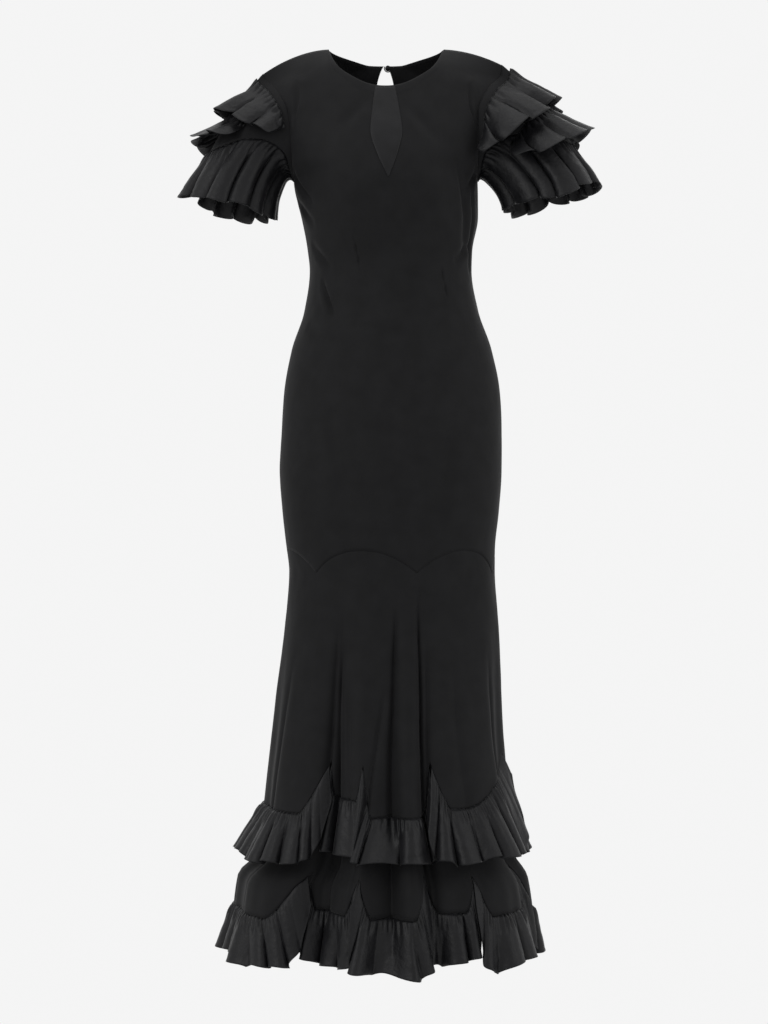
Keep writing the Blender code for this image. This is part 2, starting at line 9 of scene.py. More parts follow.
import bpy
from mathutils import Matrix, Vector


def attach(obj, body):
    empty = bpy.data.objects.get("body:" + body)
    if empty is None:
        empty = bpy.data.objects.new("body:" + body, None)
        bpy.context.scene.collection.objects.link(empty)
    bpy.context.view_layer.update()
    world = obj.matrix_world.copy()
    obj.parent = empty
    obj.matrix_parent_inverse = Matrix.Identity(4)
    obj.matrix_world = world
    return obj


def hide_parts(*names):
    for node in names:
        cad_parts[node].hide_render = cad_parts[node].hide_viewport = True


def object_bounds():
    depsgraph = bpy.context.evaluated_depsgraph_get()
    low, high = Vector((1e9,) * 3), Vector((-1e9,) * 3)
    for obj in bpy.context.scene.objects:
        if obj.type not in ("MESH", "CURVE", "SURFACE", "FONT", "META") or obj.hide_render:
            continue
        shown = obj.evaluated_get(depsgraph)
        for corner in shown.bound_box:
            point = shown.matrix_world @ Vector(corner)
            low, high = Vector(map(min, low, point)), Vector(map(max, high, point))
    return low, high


bl_info = {
    "name": "Ruffle dress",
    "version": (1, 0, 0),
    "blender": (4, 5, 0),
    "location": "3D View > Sidebar > Dress",
    "description": "Builds the cloth, the finishes and the studio of a long ruffled dress",
    "category": "Object",
}

import bmesh
import bpy
import numpy as np
from mathutils import Vector

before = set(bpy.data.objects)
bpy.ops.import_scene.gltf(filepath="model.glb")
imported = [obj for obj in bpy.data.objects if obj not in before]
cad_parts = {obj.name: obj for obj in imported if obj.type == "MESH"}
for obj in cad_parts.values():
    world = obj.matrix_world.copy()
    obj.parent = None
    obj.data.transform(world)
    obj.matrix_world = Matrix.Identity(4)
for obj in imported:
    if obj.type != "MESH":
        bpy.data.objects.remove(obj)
CAD_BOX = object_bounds()

MM = 0.001
SEAM = 0.3

# Neck and shoulders
NECK_LEFT = -27.0
NECK_RIGHT = 29.0
NECK_TOP = 1.5
NECK_FRONT_LOW = -69.0
NECK_BACK_LOW = -11.5
SHOULDER_LEFT_END = -34.5
SHOULDER_RIGHT_END = -21.0
SHOULDER_CURVE = 1.8
SHOULDER_ROUNDING = 48.0
NECK_ROUNDING = 6.0
FACING_DEPTH = 15.0

# Keyhole at the back of the neck
KEYHOLE_LOW = -128.0
KEYHOLE_HALF_WIDTH = 13.0
KEYHOLE_NECK_HALF_WIDTH = 2.5

# Bust form from the darts, and how far it spreads round the body and up it
BUST_HEIGHT = -205.0
BUST_ANGLE = 30.0
BUST_GAIN = 9.0
BUST_WIDTH = 18.0
BUST_TALL = 45.0

# Scalloped seam between the body and the skirt
SCALLOP_FIRST = 14.0
SCALLOP_SPAN = 60.0
SCALLOP_LOW = -781.0
SCALLOP_RISE = 33.0

# Skirts and flounces
FLUTE_FULL = -1140.0
UNDERSKIRT_TOP = -1000.0
UPPER_CUSP = -1050.0
LOWER_CUSP = -1210.0
FLOUNCE_TIP = 22.0
FLOUNCE_FLAT = 0.5
FLOUNCE_CORNER = 3.2
SIDE_CALM = 0.9
LOWER_FLARE = 0.5
HEM_RADIUS = 185.0
SEAM_ALLOWANCE = 3.0

# How much deeper than their tables the creases of the body and the lines of the skirt lie
CREASE_GAIN = 4.4
LINE_GAIN = 1.7

# Armholes and sleeves
UNDERARM = -197.0
ARMHOLE_BLEND = 0.3
UNDERARM_RISE = 0.08
SLEEVE_RADIUS = 66.0
RUFFLE_BELL = 1.8

# Degrees past the side seam where the back starts, so that it is never read as front
BEHIND = 0.001

# Millimetres of cloth round the body in one degree
ARC = 2.6

# Studio, in metres: how far the floor lies below the hem, and half its width
FLOOR_DROP = 0.3
FLOOR_HALF = 0.7


def table(names, rows):
    """The rows as one array for each named column."""
    return {name: np.array(column, float) for name, column in zip(names.split(), zip(*rows))}


# Limits of the cloth at each height, how far forward the front armhole edge lies, the centre line, and how
# deep the front and back are.
BODY = table(
    "height left right edge centre front back",
    [
        (5, -187.5, 171.5, 0, -4, -46, 46),
        (-35, -186.5, 168.5, 0, -4, -62, 60),
        (-60, -166.5, 148.5, 24, -4, -75, 70),
        (-100, -147.5, 132.5, 42, -3, -92, 82),
        (-140, -143.5, 132.5, 44, -2, -108, 91),
        (-175, -141.5, 132.5, 30, -1, -118, 94),
        (-197, -140.5, 133.5, 0, 0, -121, 94),
        (-250, -128.5, 133.5, 0, 2, -112, 87),
        (-300, -119.5, 125.5, 0, 3, -95, 76),
        (-330, -116.5, 124.5, 0, 4, -90, 73),
        (-390, -124.5, 134.5, 0, 4, -94, 86),
        (-450, -143.5, 154.5, 0, 5, -101, 104),
        (-510, -154.5, 166.5, 0, 5, -106, 114),
        (-570, -158.5, 169.5, 0, 5, -109, 116),
        (-630, -161.5, 169.5, 0, 5, -109, 113),
        (-690, -157.5, 165.5, 0, 4, -106, 108),
        (-750, -150.5, 159.5, 0, 4, -103, 102),
        (-780, -147.5, 159.5, 0, 4, -102, 100),
        (-840, -151.5, 163.5, 0, 3, -104, 101),
        (-900, -158.5, 167.5, 0, 2, -109, 104),
        (-960, -166.5, 169.5, 0, 1, -116, 111),
        (-1020, -173.5, 172.5, 0, 0, -125, 120),
        (-1080, -180.5, 178.5, 0, 0, -136, 131),
        (-1140, -187.5, 189, 0, 0, -149, 144),
        (-1200, -200, 198, 0, 0, -157, 153),
        (-1235, -227, 212, 0, 0, -163, 160),
        (-1300, -230, 217, 0, 0, -171, 168),
        (-1380, -231, 222, 0, 0, -181, 178),
    ],
)

# Long folds of the skirt: where, how wide, how far in at full depth, and where they start.
FLUTES = table(
    "angle width depth start",
    [
        (-76, 8, 7, -820),
        (-52, 14, -5, -860),
        (-27, 8, 25, -800),
        (-13, 5, -9, -820),
        (0, 5, 14, -800),
        (9, 5, -8, -800),
        (18, 4, 14, -790),
        (46, 16, -6, -860),
        (72, 7, 9, -820),
        (98, 8, 8, -820),
        (128, 8, 14, -800),
        (150, 10, -7, -860),
        (172, 6, 16, -800),
        (194, 10, -7, -820),
        (218, 8, 17, -800),
        (242, 12, -6, -860),
    ],
)

# Soft valleys and sharp lines that the long folds end in: the angle at the seam and at the hem, how wide and
# deep, and where they start.
FOLD_LINES = table(
    "top bottom width depth start",
    [
        (-26, -27.5, 3.4, 4.5, -800),
        (3, 3.5, 3.2, 4, -780),
        (15.5, 16.5, 2.6, 3, -770),
        (-29, -31.5, 1.5, 6, -845),
        (-27, -24.5, 1.4, 7, -870),
        (-21, -17, 1.6, 3, -930),
        (2.5, 1.5, 1.6, 7, -800),
        (-1.5, -11, 1.4, 5, -930),
        (14.5, 16.5, 1.1, 8, -785),
        (19, 19.5, 1.2, 4, -860),
        (-60, -66, 2.4, 2.5, -900),
        (33, 38, 2.6, 2, -900),
        (60, 68, 2.2, 3, -890),
        (127, 129, 1.5, 6, -840),
        (131, 134, 1.6, 4, -880),
        (158, 161, 2.2, 3, -900),
        (171, 173, 1.4, 7, -810),
        (201, 205, 2.0, 3, -900),
        (217, 219, 1.5, 7, -830),
        (250, 247, 2.4, 3, -900),
    ],
)

# Soft creases and darts of the body: from one place to another, how wide and how deep.
CREASES = table(
    "angle height to_angle to_height width depth",
    [
        (-25, -292, -22, -336, 1.6, 1.2),
        (38, -333, 40, -376, 1.5, 1.1),
        (-54, -356, -40, -402, 5, 2.2),
        (-66, -300, -48, -330, 7, 1.6),
        (-30, -352, -12, -372, 7, 0.9),
        (8, -344, 30, -362, 8, 0.9),
        (52, -318, 70, -296, 7, 1.5),
        (50, -180, 62, -300, 9, 1.6),
        (66, -215, 74, -330, 7, 1.4),
        (-78, -190, -58, -232, 6, 1.6),
        (-84, -225, -62, -262, 7, 1.3),
        (76, -185, 56, -222, 6, 1.5),
        (-20, -420, 6, -436, 9, 0.8),
        (24, -400, 44, -392, 8, 0.8),
        (-60, -420, -36, -450, 9, 0.9),
        (-12, -96, -30, -136, 9, 0.9),
        (14, -104, 32, -150, 9, 0.9),
        (-52, -60, -74, -118, 6, 1.2),
        (55, -62, 76, -120, 6, 1.2),
        (-34, -560, -20, -690, 13, 1.1),
        (30, -600, 24, -720, 12, 1.1),
        (152, -330, 130, -352, 7, 1.4),
        (208, -328, 232, -350, 7, 1.4),
        (160, -362, 200, -372, 8, 1.0),
        (148, -295, 140, -400, 1.6, 1.2),
        (212, -295, 220, -400, 1.6, 1.2),
        (118, -200, 136, -250, 8, 1.4),
        (242, -200, 224, -250, 8, 1.4),
        (165, -560, 158, -690, 13, 1.0),
    ],
)

# Petals of each hem, from one cusp to the next: the waves of the flounce on each, how far past its two cusps
# it reaches, where the hem is lowest, how much of it is level, and the heights of the hem and of the
# flounce's edge.
UPPER_PETALS = table(
    "start end waves left_past right_past middle flat low edge",
    [
        (-126, -30, 16, 13, 13, 0.5, 0.72, -1128, -1197),
        (-30, -11.5, 5, 6, 6, 0.5, 0.74, -1104, -1184),
        (-11.5, 20.5, 6, 11, 6, 0.5, 0.76, -1129, -1191),
        (20.5, 78, 8, 13, 24, 0.17, 0.15, -1119, -1190),
        (78, 117, 6, 6, 13, 0.5, 0.42, -1125, -1203),
        (117, 156, 6, 6, 6, 0.5, 0.42, -1128, -1198),
        (156, 196, 6, 13, 13, 0.5, 0.42, -1128, -1203),
        (196, 234, 6, 6, 6, 0.5, 0.42, -1128, -1198),
    ],
)
LOWER_PETALS = table(
    "start end waves left_past right_past middle flat low edge",
    [
        (-118, -34, 12, 24, 24, 0.5, 0.66, -1278, -1344),
        (-34, -11, 5, 6, 6, 0.5, 0.64, -1264, -1336),
        (-11, 15, 5, 13, 13, 0.5, 0.62, -1270, -1345),
        (15, 36, 5, 6, 6, 0.5, 0.52, -1264, -1334),
        (36, 72, 6, 13, 13, 0.5, 0.66, -1272, -1343),
        (72, 132, 9, 6, 6, 0.5, 0.6, -1280, -1347),
        (132, 187, 8, 13, 13, 0.5, 0.42, -1280, -1350),
        (187, 242, 8, 6, 6, 0.5, 0.42, -1280, -1347),
    ],
)
UNDERSKIRT_INSET = table(
    "height inset",
    [(-1000, 3.4), (-1050, 11), (-1110, 13), (-1190, 12), (-1240, 2), (-1300, -2), (-1380, -3)],
)

# The two ways that an end of a flounce lies beside its neighbour: the inner one hangs closer and goes behind,
# the outer one, which reaches further past the cusp than OVER, stands out.
OVER = 10.0
FLOUNCE_LAYERS = table("side_lift flare", [(-5.0, 10.0), (9.0, 26.0)])

# Sections of each sleeve from the armhole, 0, to the edge of the lowest ruffle, 1.
LEFT_SLEEVE = table(
    "along across height lean tall deep",
    [
        (0.0, -158.5, -115, 76, 79, 45),
        (0.25, -180, -131, 62, 66, 51),
        (0.5, -200, -155, 46, 60, 57),
        (0.75, -219, -188, 32, 58, 62),
        (1.0, -234, -224, 20, 60, 66),
        (1.2, -241, -252, 16, 60, 69),
    ],
)
RIGHT_SLEEVE = table(
    "along across height lean tall deep",
    [
        (0.0, 148.5, -107, 76, 86, 45),
        (0.25, 174, -124, 62, 74, 51),
        (0.5, 200, -148, 46, 68, 57),
        (0.75, 224, -180, 32, 64, 63),
        (1.0, 243, -211, 20, 65, 68),
        (1.2, 251, -238, 16, 65, 71),
    ],
)

# Where the cap of a sleeve ends, by the angle round it.
CAP_END = table("around along", [(0, 0.76), (45, 0.66), (80, 0.45), (110, 0.22), (130, 0.12), (180, 0.1)])

# Ruffles of each sleeve: how far round they reach at the front and the back, where they start and end along
# it, how far they lie off the cap at the seam and at the edge, their waves, and how far the front end puffs
# in over the body.
LEFT_RUFFLES = table(
    "front back start end seat flare depth waves inward",
    [
        (94, 118, 0.07, 0.45, 3.2, 14, 7.5, 8, 9),
        (62, 104, 0.4, 0.71, 2.6, 29, 7.5, 6, 0),
        (180, 180, 0.76, 1.1, 0, 4, 6.5, 12, 0),
    ],
)
RIGHT_RUFFLES = table(
    "front back start end seat flare depth waves inward",
    [
        (118, 118, 0.07, 0.45, 4.6, 14, 8.0, 9, 23),
        (104, 104, 0.4, 0.71, 2.4, 27, 8.0, 8, 13),
        (180, 180, 0.76, 1.1, 0, 4, 6.5, 12, 0),
    ],
)

# Taffeta lozenge under the neckline: half widths by height.
LOZENGE = table("height half_width", [(-70, 14), (-105, 19), (-140, 22.5), (-170, 15.5), (-208, 1)])


def smooth(value, low, high):
    """Rises softly from 0 at low to 1 at high: three times the square of the share less twice its cube."""
    part = np.clip((value - low) / (high - low), 0, 1)
    return part * part * (3 - 2 * part)


def read(rows, name, key, at):
    """A soft curve through one column of a table, which never overshoots its rows."""
    order = np.argsort(rows[key])
    x = rows[key][order]
    y = rows[name][order]
    step = np.diff(x)
    slope = np.diff(y) / step
    turn = slope[:-1] * slope[1:] > 0
    inner = np.where(turn, 2 * slope[:-1] * slope[1:] / np.where(turn, slope[:-1] + slope[1:], 1), 0)
    tangent = np.concatenate([slope[:1], inner, slope[-1:]])
    at = np.clip(at, x[0], x[-1])
    i = np.clip(np.searchsorted(x, at, side="right") - 1, 0, len(step) - 1)
    t = (at - x[i]) / step[i]
    rise = 3 * t**2 - 2 * t**3
    ease_in = t**3 - 2 * t**2 + t
    ease_out = t**3 - t**2
    return y[i] + (y[i + 1] - y[i]) * rise + step[i] * (ease_in * tangent[i] + ease_out * tangent[i + 1])


def uneven(value, seed):
    """A wandering line between about -1 and 1: three sines of unlike lengths, with phases from the seed."""
    slow, middle, quick = np.random.default_rng(seed).uniform(0, 2 * np.pi, 3)
    line = 0.5 * np.sin(value + slow) + 0.3 * np.sin(1.73 * value + middle)
    return line + 0.2 * np.sin(3.11 * value + quick)


def pleats(phase):
    """Gathered cloth in section: round ridges with narrow valleys, from a power of the half angle's sine."""
    return 2 * np.abs(np.sin(phase / 2)) ** 0.8 - 1


def shoulder_height(side):
    """The height of the shoulder seam, level across the neck and falling to each shoulder's end."""
    left_neck = np.sin(np.radians(NECK_LEFT))
    right_neck = np.sin(np.radians(NECK_RIGHT))
    left_fall = np.clip((left_neck - side) / (left_neck + 1), 0, 1)
    right_fall = np.clip((side - right_neck) / (1 - right_neck), 0, 1)
    height = NECK_TOP + (SHOULDER_LEFT_END - NECK_TOP) * left_fall**SHOULDER_CURVE
    return height + (SHOULDER_RIGHT_END - NECK_TOP) * right_fall**SHOULDER_CURVE


def cloth(angle, height, opening=0.0):
    """Points on the body or skirt with no folds: half ellipses between the side limits at each height."""
    side = np.sin(np.radians(angle))
    toward = np.cos(np.radians(angle))
    centre = read(BODY, "centre", "height", height) + opening
    limit = np.where(side < 0, read(BODY, "left", "height", height), read(BODY, "right", "height", height))
    x = centre + (limit - centre) * np.abs(side)
    front = read(BODY, "front", "height", height)
    back = read(BODY, "back", "height", height)
    beside = (np.abs(angle) - BUST_ANGLE) / BUST_WIDTH
    above = (height - BUST_HEIGHT) / BUST_TALL
    apex = np.exp(-(beside**2) - above**2)
    depth = np.where(toward > 0, front - BUST_GAIN * apex, back)
    edge = read(BODY, "edge", "height", height) * -np.sign(toward)
    power = np.interp(height, [-230, -60], [0.5, 1.0])
    crown = np.maximum(1 - side**2, 0) ** power
    rounding = NECK_ROUNDING + (SHOULDER_ROUNDING - NECK_ROUNDING) * smooth(np.abs(side), 0, 0.5)
    soften = np.clip((shoulder_height(side) - height) / rounding, 0, 1)
    y = (edge + (depth - edge) * crown) * (1 - (1 - soften) ** 2)
    return np.stack(np.broadcast_arrays(x, y, height), axis=-1)


def outward(angle, height):
    """The level direction that points out of the cloth."""
    width = (read(BODY, "right", "height", height) - read(BODY, "left", "height", height)) / 2
    depth = (read(BODY, "back", "height", height) - read(BODY, "front", "height", height)) / 2
    x = depth * np.sin(np.radians(angle))
    y = -width * np.cos(np.radians(angle))
    long = np.hypot(x, y)
    return np.stack(np.broadcast_arrays(x / long, y / long, 0 * height), axis=-1)


def wrapped(angle):
    """The angle brought between -180 and 180."""
    return (angle + 180) % 360 - 180


def flute(angle, height):
    """The long folds: a bell curve round each fold's angle, which deepens downwards."""
    out = np.zeros(np.broadcast(angle, height).shape)
    for where, width, depth, start in zip(*FLUTES.values()):
        growth = np.clip((start - height) / (start - FLUTE_FULL), 0, 1.2) ** 1.2
        out -= depth * growth * np.exp(-((wrapped(angle - where) / width) ** 2))
    return out


def fold_lines(angle, height):
    """The narrow lines of the folds: steep troughs between soft ridges, which drift as they fall."""
    out = np.zeros(np.broadcast(angle, height).shape)
    for top, bottom, width, depth, start in zip(*FOLD_LINES.values()):
        share = np.clip((start - height) / (start - FLUTE_FULL), 0, 1.2)
        centre = top + (bottom - top) * share + 0.5 * uneven(height / 70, int(abs(top) * 10))
        away = wrapped(angle - centre) / width
        growth = smooth(share, 0, 0.28) * np.clip(0.45 + 0.7 * share, 0, 1.1)
        out -= depth * growth * (np.exp(-(np.abs(away) ** 1.4)) - 0.35 * np.exp(-((away / 3) ** 2)))
    return out


def creases(angle, height):
    """Troughs along straight lines on the cloth, each with soft banks, as deep as the table says."""
    x = wrapped(angle) * ARC
    out = np.zeros(np.broadcast(angle, height).shape)
    for a, h, a2, h2, width, depth in zip(*CREASES.values()):
        start_x, end_x = wrapped(a) * ARC, wrapped(a2) * ARC
        if abs(end_x - start_x) > 180 * ARC:
            continue
        run = np.array([end_x - start_x, h2 - h])
        share = np.clip(((x - start_x) * run[0] + (height - h) * run[1]) / (run @ run), 0, 1)
        away = np.hypot(x - start_x - share * run[0], height - h - share * run[1]) / width
        fade = 0.35 + 0.65 * np.sin(np.pi * np.clip(share, 0.02, 0.98))
        out -= depth * fade * (np.exp(-(away**2)) - 0.4 * np.exp(-((away / 2.3) ** 2)))
    return out


def drape(angle, height):
    """Slow swells of hanging cloth: two wandering lines multiplied, less than a millimetre high."""
    swell = 0.9 * uneven(angle / 13, 5) * uneven(height / 46, 6)
    return swell + 0.35 * uneven(angle / 5 + height / 60, 7) * uneven(height / 21 - angle / 16, 8)


def skirt(angle, height, inset=0.0):
    """Points of a skirt, with its long folds."""
    out = flute(angle, height) - inset
    return cloth(angle, height) + outward(angle, height) * np.asarray(out)[..., None]


def scallop(angle):
    """The height of the scalloped seam: arches that meet in points."""
    across = ((angle - SCALLOP_FIRST) / SCALLOP_SPAN) % 1
    return SCALLOP_LOW + SCALLOP_RISE * (1 - np.abs(2 * across - 1) ** 2.2)


def neckline(angle):
    """The top edge of the body: the shoulder seam, or the round neckline between the neck points."""
    side = np.sin(np.radians(angle))
    low = np.where(np.cos(np.radians(angle)) > 0, NECK_FRONT_LOW, NECK_BACK_LOW)
    reach = np.where(side < 0, side / np.sin(np.radians(NECK_LEFT)), side / np.sin(np.radians(NECK_RIGHT)))
    dip = np.maximum(1 - np.clip(reach, 0, 1) ** 2.2, 0) ** 0.6
    return shoulder_height(side) + (low - NECK_TOP) * dip


def keyhole(height, top):
    """Half the width of the keyhole: a drop shape that narrows to the button, then the centre back seam."""
    part = np.clip((top - height) / (top - KEYHOLE_LOW), 0, 1)
    drop = KEYHOLE_NECK_HALF_WIDTH * (1 - part) + KEYHOLE_HALF_WIDTH * np.sin(np.pi * part**0.8)
    return np.maximum(drop, SEAM / 2)


def off_middle(part, middle):
    """How far a point is from the middle of a petal, as a share of the way to the cusp on its side."""
    return np.abs(part - middle) / np.where(part < middle, middle, 1 - middle)


def petal_hem(part, middle, flat, cusp, low):
    """The height of a petal's edge, from its cusps to the level middle."""
    from_middle = off_middle(part, middle)
    fall = 1 - np.clip((from_middle - flat) / (1 - flat), 0, 1) ** 1.35
    return cusp + (low - cusp) * fall


def hem(petals, cusp, angle):
    """The height of a whole petal hem at each angle."""
    height = np.full(np.shape(angle), float(cusp))
    for first, last, _, _, _, middle, flat, low, _ in zip(*petals.values()):
        part = ((angle - first) % 360) / (last - first)
        inside = part < 1
        height = np.where(inside, petal_hem(np.clip(part, 0, 1), middle, flat, cusp, low), height)
    return height


def tube(rows, around, along, lift):
    """Oval sections along a bend, upright at the armhole and nearly level at the cuff."""
    lean = np.radians(read(rows, "lean", "along", along))
    outer = np.sign(rows["across"][0])
    tall = read(rows, "tall", "along", along) + lift
    deep = read(rows, "deep", "along", along) + lift
    turn = np.radians(around)
    x = read(rows, "across", "along", along) + outer * np.cos(lean) * tall * np.cos(turn)
    z = read(rows, "height", "along", along) + np.sin(lean) * tall * np.cos(turn)
    y = -deep * np.sin(turn)
    return np.stack(np.broadcast_arrays(x, y, z), axis=-1)


def armhole(around, outer):
    """The edge of an armhole, just outside the body's own edge."""
    top = SHOULDER_RIGHT_END if outer > 0 else SHOULDER_LEFT_END
    turn = np.radians(around)
    z = UNDERARM + 1 + (top - UNDERARM - 1) * (1 + np.cos(turn)) / 2
    x = read(BODY, "right" if outer > 0 else "left", "height", z) + 0.1 * outer
    soften = 1 - (1 - np.clip((top - z) / SHOULDER_ROUNDING, 0, 1)) ** 2
    y = -read(BODY, "edge", "height", z) * soften * np.sign(np.sin(turn))
    return np.stack([x, y, z], axis=-1)


def sleeve(rows, around, along, lift=0.0):
    """Points on a sleeve: the armhole's edge blends into the oval sections of a bent tube."""
    outer = np.sign(rows["across"][0])
    start = armhole(around + 0 * along, outer) - tube(rows, around + 0 * along, 0 * along, 0)
    near = 1 - smooth(along + 0 * around, 0, ARMHOLE_BLEND)
    return tube(rows, around, along, lift) + start * near[..., None]


def cap_end(around):
    """How far along the sleeve its crepe cap ends, at each angle round it."""
    return read(CAP_END, "along", "around", np.abs(wrapped(around)))


def arc_lengths(points, axis):
    """Lengths along the grid's rows or columns from its first point, in millimetres."""
    step = np.linalg.norm(np.diff(points, axis=axis), axis=-1)
    pad = [(0, 0), (0, 0)]
    pad[axis] = (1, 0)
    return np.cumsum(np.pad(step, pad), axis=axis)


def add_cloth(name, points, thickness, material):
    """A sheet of cloth on a grid of points in millimetres. Its UV map holds lengths along it in metres."""
    rows, columns = points.shape[:2]
    index = np.arange(rows * columns).reshape(rows, columns)
    corners = (index[:-1, :-1], index[1:, :-1], index[1:, 1:], index[:-1, 1:])
    faces = np.stack(corners, axis=-1).reshape(-1, 4)
    mesh = bpy.data.meshes.new(name)
    mesh.from_pydata((points.reshape(-1, 3) * MM).tolist(), [], faces.tolist())
    across = arc_lengths(points, 1)
    down = arc_lengths(points, 0)
    across = across - across.mean(axis=1, keepdims=True)
    places = np.stack([across, down], axis=-1).reshape(-1, 2) * MM
    layer = mesh.uv_layers.new(name="cloth")
    layer.data.foreach_set("uv", places[faces.ravel()].astype(np.float32).ravel())
    shape = bmesh.new()
    shape.from_mesh(mesh)
    bmesh.ops.remove_doubles(shape, verts=shape.verts, dist=1e-5)
    shape.to_mesh(mesh)
    shape.free()
    mesh.shade_smooth()
    mesh.materials.append(material)
    piece = bpy.data.objects.new(name + "_cloth", mesh)
    bpy.context.scene.collection.objects.link(piece)
    wall = piece.modifiers.new("Cloth", "SOLIDIFY")
    wall.thickness = thickness * MM
    wall.offset = 1.0
    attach(piece, "root")
    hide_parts(name)
    return piece


def linear(colour):
    """An sRGB hex colour as linear red, green and blue."""
    parts = [int(colour[i : i + 2], 16) / 255 for i in (1, 3, 5)]
    return tuple(p / 12.92 if p <= 0.04045 else ((p + 0.055) / 1.055) ** 2.4 for p in parts)


def add_node(tree, kind, settings=(), **links):
    """Adds a node, sets its properties and its sockets' values, and links the named sockets."""
    node = tree.nodes.new(kind)
    for name, value in dict(settings).items():
        if name in node.inputs and not hasattr(type(node), name):
            node.inputs[name].default_value = value
        else:
            setattr(node, name, value)
    for name, source in links.items():
        tree.links.new(source, node.inputs[name.replace("_", " ")])
    return node


def shades(tree, factor, colour, spread):
    """A colour ramp a little darker and lighter than one colour."""
    ramp = add_node(tree, "ShaderNodeValToRGB", Fac=factor)
    for element, gain in zip(ramp.color_ramp.elements, (1 - spread, 1 + spread)):
        element.color = (*[channel * gain for channel in colour], 1)
    ramp.color_ramp.elements[0].position = 0.3
    ramp.color_ramp.elements[1].position = 0.7
    return ramp


def crepe_material(colours):
    """Black polyester crepe, woven from hard-twisted yarn: a matte, pebbled face with a faint grey bloom."""
    material = bpy.data.materials.new("black_crepe")
    material.use_nodes = True
    tree = material.node_tree
    shader = tree.nodes["Principled BSDF"]
    shader.inputs["Sheen Weight"].default_value = 0.03
    shader.inputs["Sheen Roughness"].default_value = 0.45
    shader.inputs["Specular IOR Level"].default_value = 0.1
    place = add_node(tree, "ShaderNodeTexCoord").outputs["Object"]
    mottle = add_node(tree, "ShaderNodeTexNoise", {"Scale": 38.0, "Detail": 3.0}, Vector=place)
    ramp = shades(tree, mottle.outputs["Fac"], colours.crepe, 0.14)
    tree.links.new(ramp.outputs["Color"], shader.inputs["Base Color"])
    # The real grain is about 0.3 mm across; it is drawn at 1 mm so that it shows.
    grain = add_node(tree, "ShaderNodeTexNoise", {"Scale": 1000.0, "Detail": 2.0}, Vector=place)
    matte = {"To Min": 0.62, "To Max": 0.78}
    wear = add_node(tree, "ShaderNodeMapRange", matte, Value=grain.outputs["Fac"])
    tree.links.new(wear.outputs["Result"], shader.inputs["Roughness"])
    fine = {"Strength": 0.35, "Distance": 0.0002}
    pebble = add_node(tree, "ShaderNodeBump", fine, Height=grain.outputs["Fac"])
    rumple = add_node(tree, "ShaderNodeTexNoise", {"Scale": 60.0, "Detail": 3.0}, Vector=place)
    soft = add_node(
        tree,
        "ShaderNodeBump",
        {"Strength": 0.25, "Distance": 0.0015},
        Height=rumple.outputs["Fac"],
        Normal=pebble.outputs["Normal"],
    )
    tree.links.new(soft.outputs["Normal"], shader.inputs["Normal"])
    return material


def taffeta_material(colours, name="black_taffeta", crumpled=0.65):
    """Black taffeta, a tight plain weave of smooth yarn: crisp crumples and a soft gleam along each fold."""
    material = bpy.data.materials.new(name)
    material.use_nodes = True
    tree = material.node_tree
    shader = tree.nodes["Principled BSDF"]
    shader.inputs["Sheen Weight"].default_value = 0.03
    shader.inputs["Sheen Roughness"].default_value = 0.3
    shader.inputs["Specular IOR Level"].default_value = 0.2
    coordinates = add_node(tree, "ShaderNodeTexCoord")
    place = coordinates.outputs["Object"]
    along = coordinates.outputs["UV"]
    mottle = add_node(tree, "ShaderNodeTexNoise", {"Scale": 70.0, "Detail": 4.0}, Vector=place)
    ramp = shades(tree, mottle.outputs["Fac"], colours.taffeta, 0.22)
    tree.links.new(ramp.outputs["Color"], shader.inputs["Base Color"])
    satin = {"To Min": 0.38, "To Max": 0.55}
    gloss = add_node(tree, "ShaderNodeMapRange", satin, Value=mottle.outputs["Fac"])
    tree.links.new(gloss.outputs["Result"], shader.inputs["Roughness"])
    # The real ribs are 0.3 mm apart; they are drawn 1.2 mm apart so that they show.
    rib = add_node(
        tree,
        "ShaderNodeTexWave",
        {"bands_direction": "Y", "Scale": 260.0, "Distortion": 1.2, "Detail": 2.0, "Detail Scale": 2.0},
        Vector=along,
    )
    shallow = {"Strength": 0.18, "Distance": 0.0001}
    weave = add_node(tree, "ShaderNodeBump", shallow, Height=rib.outputs["Fac"])
    folds = {"Scale": 130.0, "Detail": 4.0, "Roughness": 0.6}
    crumple = add_node(tree, "ShaderNodeTexNoise", folds, Vector=place)
    crisp = add_node(
        tree,
        "ShaderNodeBump",
        {"Strength": crumpled, "Distance": 0.0016},
        Height=crumple.outputs["Fac"],
        Normal=weave.outputs["Normal"],
    )
    tree.links.new(crisp.outputs["Normal"], shader.inputs["Normal"])
    return material


def floor_material(colours):
    """Matte studio paper: a flat pale sheet with the faintest mottle."""
    material = bpy.data.materials.new("pale_paper")
    material.use_nodes = True
    tree = material.node_tree
    shader = tree.nodes["Principled BSDF"]
    shader.inputs["Roughness"].default_value = 0.9
    place = add_node(tree, "ShaderNodeTexCoord").outputs["Object"]
    mottle = add_node(tree, "ShaderNodeTexNoise", {"Scale": 3.0}, Vector=place)
    ramp = shades(tree, mottle.outputs["Fac"], colours.floor, 0.01)
    tree.links.new(ramp.outputs["Color"], shader.inputs["Base Color"])
    return material


def finish_of(name, make):
    """The named material, made the first time that it is asked for."""
    return bpy.data.materials.get(name) or make(bpy.context.scene.dress_colours)


def crepe():
    return finish_of("black_crepe", crepe_material)


def taffeta():
    return finish_of("black_taffeta", taffeta_material)


def pressed_taffeta_material(colours):
    """The same taffeta ironed flat."""
    return taffeta_material(colours, "black_taffeta_pressed", 0.08)


def pressed_taffeta():
    return finish_of("black_taffeta_pressed", pressed_taffeta_material)


